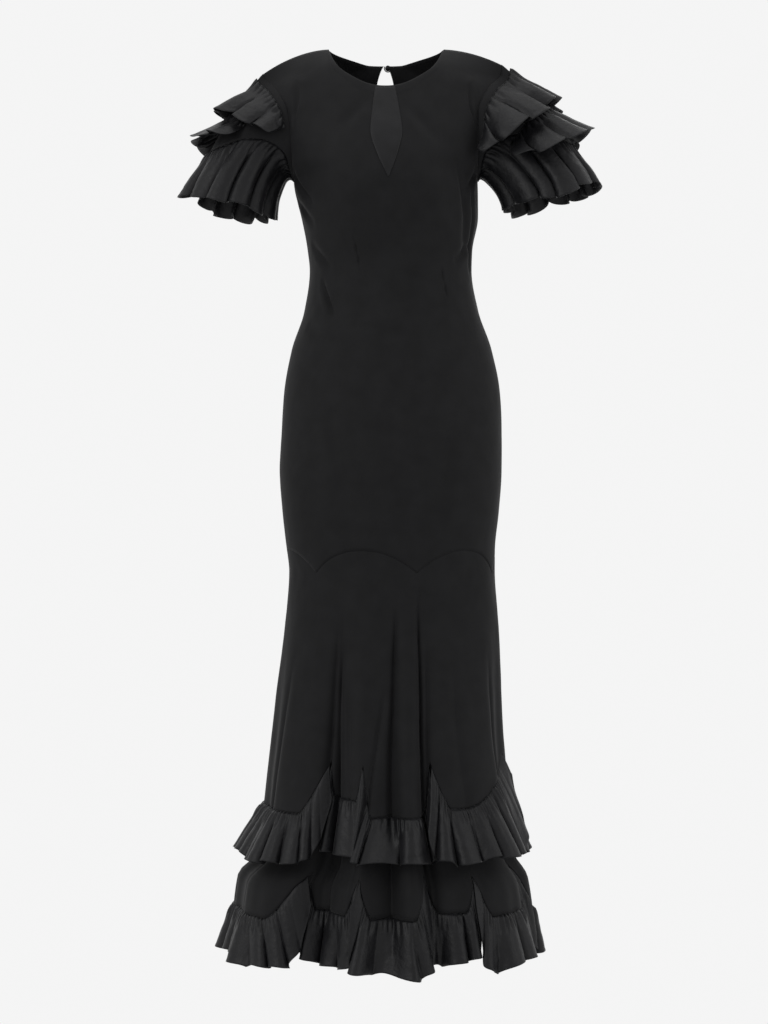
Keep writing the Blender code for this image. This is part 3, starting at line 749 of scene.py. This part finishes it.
class DressSizes(bpy.types.PropertyGroup):
    """Sizes of the cloth that a user may change."""

    crepe_thickness: bpy.props.FloatProperty(
        name="Crepe thickness", description="Thickness of the crepe, in millimetres", default=0.9, min=0.2
    )
    taffeta_thickness: bpy.props.FloatProperty(
        name="Taffeta thickness", description="Thickness of the taffeta, in millimetres", default=0.5, min=0.2
    )
    gather_spacing: bpy.props.FloatProperty(
        name="Gather spacing", description="From one gather to the next, in millimetres", default=8.5, min=4
    )
    gather_depth: bpy.props.FloatProperty(
        name="Gather depth", description="Depth of the gathers at a seam, in millimetres", default=2.2, min=0
    )
    wave_depth: bpy.props.FloatProperty(
        name="Wave depth", description="Waves at a flounce's edge, in millimetres", default=9.2, min=0
    )
    crease_depth: bpy.props.FloatProperty(
        name="Crease depth", description="Creases of the body, as a share of the usual", default=1.0, min=0
    )


class DressColours(bpy.types.PropertyGroup):
    """Colours of the cloth and the floor."""

    crepe: bpy.props.FloatVectorProperty(
        name="Crepe", description="Colour of the crepe", subtype="COLOR", default=linear("#131314")
    )
    taffeta: bpy.props.FloatVectorProperty(
        name="Taffeta", description="Colour of the taffeta", subtype="COLOR", default=linear("#0c0c0e")
    )
    floor: bpy.props.FloatVectorProperty(
        name="Floor", description="Colour of the studio floor", subtype="COLOR", default=linear("#dadada")
    )


def body_panel(start, end, columns):
    """A panel of the body: the plain form, moved out by its creases, with a pressed seam and a facing."""
    sizes = bpy.context.scene.dress_sizes
    angles = np.linspace(start, end, columns)[None]
    top = neckline(angles)
    bottom = scallop(angles) + SEAM / 2
    upper = top + (UNDERARM - top) * np.linspace(0, 1, 52)[:, None]
    lower = UNDERARM + (bottom - UNDERARM) * np.linspace(0, 1, 104)[1:, None]
    heights = np.concatenate([upper, lower])
    half = SEAM / 2
    back = start >= 90
    opening = (1 if end == 180 else -1) * keyhole(heights, NECK_BACK_LOW) if back else 0.0
    points = cloth(angles, heights, opening)
    relief = (CREASE_GAIN * creases(angles, heights) + drape(angles, heights)) * sizes.crease_depth
    from_seam = heights - bottom
    relief += 0.15 * smooth(from_seam, 8, 12) - 0.15 - 0.2 * np.exp(-((from_seam / 1.6) ** 2))
    from_neck = top - heights
    relief += 0.5 * (1 - smooth(from_neck, FACING_DEPTH - 1.2, FACING_DEPTH)) * (np.abs(angles) < 30)
    edge = np.minimum(angles - start, end - angles)
    relief *= smooth(edge, 0, 2.5) * smooth(from_neck, 0, 4)
    points += outward(angles, heights) * relief[..., None]
    points[..., 1] += half if back else -half
    return points


class DRESS_OT_body(bpy.types.Operator):
    """Builds the front and the two back halves in crepe."""

    bl_idname = "dress.body"
    bl_label = "Body"

    def execute(self, context):
        sizes = context.scene.dress_sizes
        for name, start, end, columns, beside in (
            ("front_body", -90, 90, 151, ["back_body_right", "back_body_left"]),
            ("back_body_right", 90 + BEHIND, 180, 76, ["front_body"]),
            ("back_body_left", 180, 270, 76, ["front_body"]),
        ):
            points = body_panel(start, end, columns)
            add_cloth(name, points, sizes.crepe_thickness, crepe())
        return {"FINISHED"}


class DRESS_OT_lozenge(bpy.types.Operator):
    """Sets the taffeta lozenge into the front and gives the button and its loop their finish."""

    bl_idname = "dress.lozenge"
    bl_label = "Lozenge and button"

    def execute(self, context):
        sizes = context.scene.dress_sizes
        top = neckline(np.array([0.0]))[0] - 1.5
        heights = np.linspace(top, LOZENGE["height"][-1], 70)[:, None]
        half = read(LOZENGE, "half_width", "height", heights)
        across = np.linspace(-1, 1, 31)[None]
        limit = read(BODY, "right", "height", heights) - read(BODY, "centre", "height", heights)
        angle = np.degrees(np.arcsin(half * across / limit))
        points = cloth(angle, heights + 0 * angle)
        crumple = 0.25 * uneven(heights / 14 + across * 0.8, 31)
        lift = 1.5 + (0.5 + crumple) * smooth(1 - np.abs(across), 0, 0.25) * smooth(heights, -205, -190)
        points[..., 1] -= lift
        thickness = sizes.taffeta_thickness
        finish = pressed_taffeta()
        add_cloth("neck_insert", points, thickness, finish)
        for name in ("button", "button_loop"):
            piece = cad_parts[name]
            piece.data.materials.clear()
            piece.data.materials.append(taffeta())
        return {"FINISHED"}


def skirt_relief(angle, height, under):
    """How far a skirt stands off its long folds: sharp lines and a slow drape, calm at the side seams."""
    turn = (angle + 90) % 360 - 90
    relief = LINE_GAIN * fold_lines(turn, height) + 1.2 * drape(turn * 1.3, height)
    if under:
        relief = 0.6 * relief + 1.5 * uneven(turn / 4.5, 17) * smooth(-height, 1200, 1260)
    return relief * smooth(np.abs(np.abs(wrapped(angle)) - 90), 0, 2.5)


def skirt_panel(angles, top, bottom, rows, under):
    """A panel of a skirt between two lines, with its long folds, its relief and its seam allowance."""
    share = np.linspace(0, 1, rows)[:, None]
    heights = top + (bottom - top) * share
    inset = read(UNDERSKIRT_INSET, "inset", "height", heights) if under else 0.0
    relief = skirt_relief(angles, heights, under)
    if not under:
        from_seam = top - SEAM_ALLOWANCE - heights
        relief = relief * smooth(from_seam, 0, 30) - 0.15 - 1.2 * (1 - smooth(from_seam, -1.2, 1.6))
    return skirt(angles, heights, inset) + outward(angles, heights) * relief[..., None]


class DRESS_OT_skirts(bpy.types.Operator):
    """Builds the flared skirt and the longer one below it, each a front and a back with a petal hem."""

    bl_idname = "dress.skirts"
    bl_label = "Skirts"

    def execute(self, context):
        sizes = context.scene.dress_sizes
        for side, start, end, half, above in (
            ("front", -90, 90, -SEAM / 2, ["front_body"]),
            ("back", 90, 270, SEAM / 2, ["back_body_right", "back_body_left"]),
        ):
            angles = np.linspace(start, end, 271)[None]
            bottom = hem(UPPER_PETALS, UPPER_CUSP, angles)
            top = scallop(angles) - SEAM / 2 + SEAM_ALLOWANCE
            points = skirt_panel(angles, top, bottom, 96, False)
            points[..., 1] += half
            upper = f"skirt_{side}"
            add_cloth(upper, points, sizes.crepe_thickness, crepe())
            angles = np.linspace(start, end, 241)[None]
            bottom = hem(LOWER_PETALS, LOWER_CUSP, angles)
            points = skirt_panel(angles, UNDERSKIRT_TOP + 0 * angles, bottom, 34, True)
            points[..., 1] += half
            add_cloth("under" + upper, points, sizes.crepe_thickness, crepe())
        return {"FINISHED"}


def layer(name, left_past, right_past, part):
    """A column of FLOUNCE_LAYERS, turning over a flounce's middle from its left end's way to its right's."""
    left, right = (FLOUNCE_LAYERS[name][int(past > OVER)] for past in (left_past, right_past))
    return left + (right - left) * smooth(part, 0.3, 0.7)


def flounce(petal, cusp, flare_share, under, seed, sizes):
    """A flounce between the petal's hem and a broad U that reaches past the cusps.

    Each point lies on the straight line from the seam to the edge, moved out by a soft puff, by fine gathers
    that fade away from the seam, and by uneven waves that grow towards the edge. The waves also move the
    cloth sideways by the sine of twice their phase, which gives them overhanging flanks.
    """
    first, last, waves, left_past, right_past, middle, flat, low, bottom = petal
    across = np.radians(last - first) * HEM_RADIUS
    long = across + 2 * (cusp - low)
    columns = int(long / 1.75)
    share = np.linspace(0.012, 0.988, columns)
    rough = petal_hem(share, middle, flat, cusp, low)
    length = np.cumsum(np.hypot(np.gradient(share) * across, np.gradient(rough)))
    part = np.interp(np.linspace(length[0], length[-1], columns), length, share)
    from_middle = off_middle(part, middle)
    hems = petal_hem(part, middle, flat, cusp, low)
    inset = read(UNDERSKIRT_INSET, "inset", "height", hems) if under else 0.0
    along_hem = first + (last - first) * part
    seam = skirt(along_hem, hems + 1.2, inset + 0.8)
    seam = seam + outward(along_hem, hems) * skirt_relief(along_hem, hems, under)[:, None]
    past = np.where(part < middle, left_past, right_past)
    side_lift = layer("side_lift", left_past, right_past, part)
    flare = layer("flare", left_past, right_past, part) * flare_share
    level = max(flat, FLOUNCE_FLAT)
    drop = 1 - np.clip((from_middle - level) / (1 - level), 0, 1) ** FLOUNCE_CORNER
    aside = past * smooth(from_middle, 0.1, 0.75) * (1 - 0.5 * smooth(from_middle, 0.8, 1.0))
    beside = first + (last - first) * part
    beside += np.sign(part - middle) * np.degrees(aside / np.hypot(seam[:, 0], seam[:, 1]))
    run = np.linspace(0, 1, columns) * long
    wander = run + 6 * uneven(run / 23, seed + 1)
    coarse = 2 * np.pi * waves * wander / long
    height = cusp - FLOUNCE_TIP + (bottom - cusp + FLOUNCE_TIP) * drop
    height += (5.5 * uneven(run / 24, seed) + 3.2 * pleats(coarse)) * drop
    inset = read(UNDERSKIRT_INSET, "inset", "height", height) if under else 0.0
    lift = side_lift + (flare - side_lift) * smooth(drop, 0.25, 0.95)
    edge = skirt(beside, height, inset) + outward(beside, height) * lift[:, None]

    fall = np.linspace(0, 1, 26)[:, None] ** 0.85
    depth = np.linalg.norm(edge - seam, axis=-1)
    calm = 1 - SIDE_CALM * smooth(from_middle, level, 0.9)
    coarse = coarse + 0.9 * fall * uneven(run / 30, seed + 2)
    fine = 2 * np.pi * (run + 3.2 * uneven(run / 13, seed + 3)) / sizes.gather_spacing
    size = 1 + 0.6 * uneven(run / 15, seed + 4)
    wave = sizes.wave_depth * (0.1 + 0.9 * fall) * calm * size * np.minimum(depth / 45, 1)
    gather = sizes.gather_depth * smooth(fall, 0, 0.06) * (1 - smooth(fall, 0.08, 0.42))
    gather = gather * (1 + 0.7 * uneven(run / 8, seed + 5)) * calm**1.5
    puff = 3.2 * np.sin(np.pi * np.clip(fall, 0, 1) ** 0.6) * np.minimum(depth / 60, 1)
    roll = 0.5 * smooth(fall * depth, depth - 3.5, depth - 2.5)
    crumple = 1.1 * uneven(run / 4.2 + 5 * fall, seed + 6) * uneven(9 * fall - run / 19, seed + 7)
    crumple = crumple * smooth(fall, 0.04, 0.3) * calm
    out = puff + wave * pleats(coarse) + gather * pleats(fine) + roll + crumple
    points = seam + (edge - seam) * fall[..., None]
    normal = outward(beside, height)
    along = np.stack([-normal[:, 1], normal[:, 0], 0 * run], axis=-1)
    sideways = -0.5 * wave * np.sin(coarse)
    return points + normal * out[..., None] + along * sideways[..., None]


class DRESS_OT_flounces(bpy.types.Operator):
    """Gathers a taffeta flounce onto each petal of the two hems."""

    bl_idname = "dress.flounces"
    bl_label = "Flounces"

    def execute(self, context):
        sizes = context.scene.dress_sizes
        for kind, petals, cusp, flare_share, carrier in (
            ("upper", UPPER_PETALS, UPPER_CUSP, 1.0, "skirt"),
            ("lower", LOWER_PETALS, LOWER_CUSP, LOWER_FLARE, "underskirt"),
        ):
            for number, petal in enumerate(zip(*petals.values()), 1):
                seed = 100 * number + (50 if kind == "lower" else 0)
                points = flounce(petal, cusp, flare_share, kind == "lower", seed, sizes)
                add_cloth(
                    f"{kind}_flounce_{number}",
                    points,
                    sizes.taffeta_thickness,
                    taffeta(),
                )
        return {"FINISHED"}


def sleeve_ruffle(rows, ruffle, seed, sizes):
    """A ruffle on a sleeve, gathered along a ring and folded more and more towards its own edge.

    It lies on the bent tube of the sleeve, lifted off it by a power of the fall that opens towards the edge,
    by gathers at the seam and by uneven folds that deepen towards the edge and sway sideways. Its front end
    can puff in over the body.
    """
    front, back, start, end, seat, flare, depth, waves, inward = ruffle
    closed = front == 180
    part = np.linspace(0, 1, 230)[None]
    around = (front + back) * part - back
    fall = np.linspace(0, 1, 26)[:, None] ** 0.9
    near_end = around / np.where(around > 0, front, back)
    ends = np.ones_like(around) if closed else np.sqrt(np.maximum(1 - near_end**4, 0.02))
    tie = smooth(180 - np.abs(around), 0, 25) if closed else np.ones_like(around)
    run = np.radians(around) * SLEEVE_RADIUS
    whole = np.radians(front + back) * SLEEVE_RADIUS
    if closed:
        first = cap_end(around)
        last = end - UNDERARM_RISE * smooth(np.abs(around), 95, 180)
    else:
        first = start + 0 * around
        last = start + (end - start) * ends
    wander = part * whole + 8 * uneven(run / 25, seed + 1) * tie
    coarse = 2 * np.pi * waves * wander / whole
    last = last + (0.05 * uneven(run / 22, seed) * tie + 0.02 * pleats(coarse)) * ends
    along = first + (last - first) * fall
    coarse = coarse + 1.2 * fall * uneven(run / 33, seed + 2) * tie
    fine = 2 * np.pi * (run + 3 * uneven(run / 13, seed + 3) * tie) / sizes.gather_spacing
    size = 1 + 0.75 * uneven(run / 17, seed + 4) * tie
    wave = 1.5 * depth * (0.06 + 0.94 * fall) * size * ends
    gather = 0.9 * sizes.gather_depth * smooth(fall, 0, 0.06) * (1 - smooth(fall, 0.08, 0.36))
    gather = gather * (1 + 0.6 * uneven(run / 8, seed + 5) * tie)
    roll = 0.4 * smooth(fall, 0.93, 0.96)
    body = seat + (flare - seat) * fall**RUFFLE_BELL * ends
    lift = body + wave * pleats(coarse) * (0.25 + 0.75 * smooth(body, 0, 9) if not closed else 1)
    crumple = 0.9 * uneven(run / 4.2 + 5 * fall, seed + 6) * uneven(9 * fall - run / 19, seed + 7) * tie
    lift = lift + gather * pleats(fine) + roll + crumple * smooth(fall, 0.04, 0.3)
    sway = -np.degrees(0.55 * wave * np.sin(coarse) / SLEEVE_RADIUS) * tie
    points = sleeve(rows, around + sway, along, lift)
    puff = smooth(around, 45, 85) * (1 - smooth(around, front - 8, front)) * np.sin(0.62 * np.pi * fall)
    points[..., 0] -= np.sign(rows["across"][0]) * inward * puff
    points[..., 1] -= 0.8 * inward * puff
    points[..., 2] -= 0.5 * inward * puff
    return points


class DRESS_OT_sleeves(bpy.types.Operator):
    """Builds each crepe cap sleeve and its three taffeta ruffles."""

    bl_idname = "dress.sleeves"
    bl_label = "Sleeves"

    def execute(self, context):
        sizes = context.scene.dress_sizes
        for side, rows, ruffles in (
            ("left", LEFT_SLEEVE, LEFT_RUFFLES),
            ("right", RIGHT_SLEEVE, RIGHT_RUFFLES),
        ):
            flip = slice(None, None, -1) if side == "right" else slice(None)
            around = np.linspace(-180, 180, 121)[None]
            along = np.linspace(0, 1, 22)[:, None] * cap_end(around)
            calm = smooth(along, 0.02, 0.2) * smooth(180 - np.abs(around), 0, 20)
            lift = 0.6 * uneven(np.radians(around) * 6, 71) * calm
            cap = sleeve(rows, around, along, lift)
            name = f"sleeve_{side}"
            add_cloth(name, cap[:, flip], sizes.crepe_thickness, crepe())
            for number, ruffle in enumerate(zip(*ruffles.values()), 1):
                seed = 1000 + 100 * number + (50 if side == "right" else 0)
                points = sleeve_ruffle(rows, ruffle, seed, sizes)
                add_cloth(
                    f"{name}_ruffle_{number}",
                    points[:, flip],
                    sizes.taffeta_thickness,
                    taffeta(),
                )
        return {"FINISHED"}


def add_light(name, place, target, wide, tall, power):
    """A soft box of light that faces its target."""
    light = bpy.data.lights.new(name, "AREA")
    light.shape = "RECTANGLE"
    light.size = wide
    light.size_y = tall
    light.energy = power
    item = bpy.data.objects.new(name, light)
    item.location = place
    item.rotation_euler = (Vector(target) - Vector(place)).to_track_quat("-Z", "Y").to_euler()
    bpy.context.scene.collection.objects.link(item)
    return item


class DRESS_OT_studio(bpy.types.Operator):
    """Adds the pale floor and surroundings, the soft lights and the camera."""

    bl_idname = "dress.studio"
    bl_label = "Studio"

    def execute(self, context):
        scene = context.scene
        floor = CAD_BOX[0][2] - FLOOR_DROP
        corners = [(x, y, floor) for x, y in ((-FLOOR_HALF, -FLOOR_HALF), (FLOOR_HALF, -FLOOR_HALF))]
        corners += [(x, y, floor) for x, y in ((FLOOR_HALF, FLOOR_HALF), (-FLOOR_HALF, FLOOR_HALF))]
        mesh = bpy.data.meshes.new("floor")
        mesh.from_pydata(corners, [], [(0, 1, 2, 3)])
        mesh.materials.append(finish_of("pale_paper", floor_material))
        paper = bpy.data.objects.new("floor", mesh)
        scene.collection.objects.link(paper)

        middle = (0.0, 0.0, -0.65)
        lights = [
            add_light("key_light", (-2.2, -1.9, 0.7), middle, 0.9, 1.8, 30),
            add_light("side_light", (2.5, -1.2, 0.2), middle, 0.7, 2.0, 15),
            add_light("top_light", (0.0, -0.4, 2.0), middle, 1.6, 0.8, 10),
            add_light("back_light", (0.6, 2.6, 0.9), middle, 1.6, 1.2, 8),
        ]

        world = bpy.data.worlds.new("studio")
        world.use_nodes = True
        world.node_tree.nodes["Background"].inputs["Color"].default_value = (1, 1, 1, 1)
        world.node_tree.nodes["Background"].inputs["Strength"].default_value = 0.91
        scene.world = world
        scene.view_settings.view_transform = "Standard"

        lens = bpy.data.cameras.new("camera")
        lens.lens = 70.3
        lens.sensor_fit = "VERTICAL"
        lens.sensor_height = 36.0
        camera = bpy.data.objects.new("camera", lens)
        camera.location = (-0.006, -3.0, -0.6915)
        camera.rotation_euler = (np.pi / 2, 0, 0)
        scene.collection.objects.link(camera)
        scene.camera = camera
        return {"FINISHED"}


class DRESS_PT_panel(bpy.types.Panel):
    """The steps and settings of the dress, in the 3D view's sidebar."""

    bl_idname = "DRESS_PT_panel"
    bl_label = "Ruffle dress"
    bl_space_type = "VIEW_3D"
    bl_region_type = "UI"
    bl_category = "Dress"

    def draw(self, context):
        layout = self.layout
        for group in (context.scene.dress_sizes, context.scene.dress_colours):
            for name in group.__annotations__:
                layout.prop(group, name)
        for step in STEPS:
            layout.operator(step.bl_idname)


STEPS = (
    DRESS_OT_body,
    DRESS_OT_lozenge,
    DRESS_OT_sleeves,
    DRESS_OT_skirts,
    DRESS_OT_flounces,
    DRESS_OT_studio,
)
CLASSES = (DressSizes, DressColours, *STEPS, DRESS_PT_panel)


def register():
    for item in CLASSES:
        bpy.utils.register_class(item)
    bpy.types.Scene.dress_sizes = bpy.props.PointerProperty(type=DressSizes)
    bpy.types.Scene.dress_colours = bpy.props.PointerProperty(type=DressColours)


def unregister():
    del bpy.types.Scene.dress_sizes
    del bpy.types.Scene.dress_colours
    for item in reversed(CLASSES):
        bpy.utils.unregister_class(item)


def main():
    register()
    for step in STEPS:
        group, name = step.bl_idname.split(".")
        getattr(getattr(bpy.ops, group), name)()


if __name__ == "__main__":
    main()
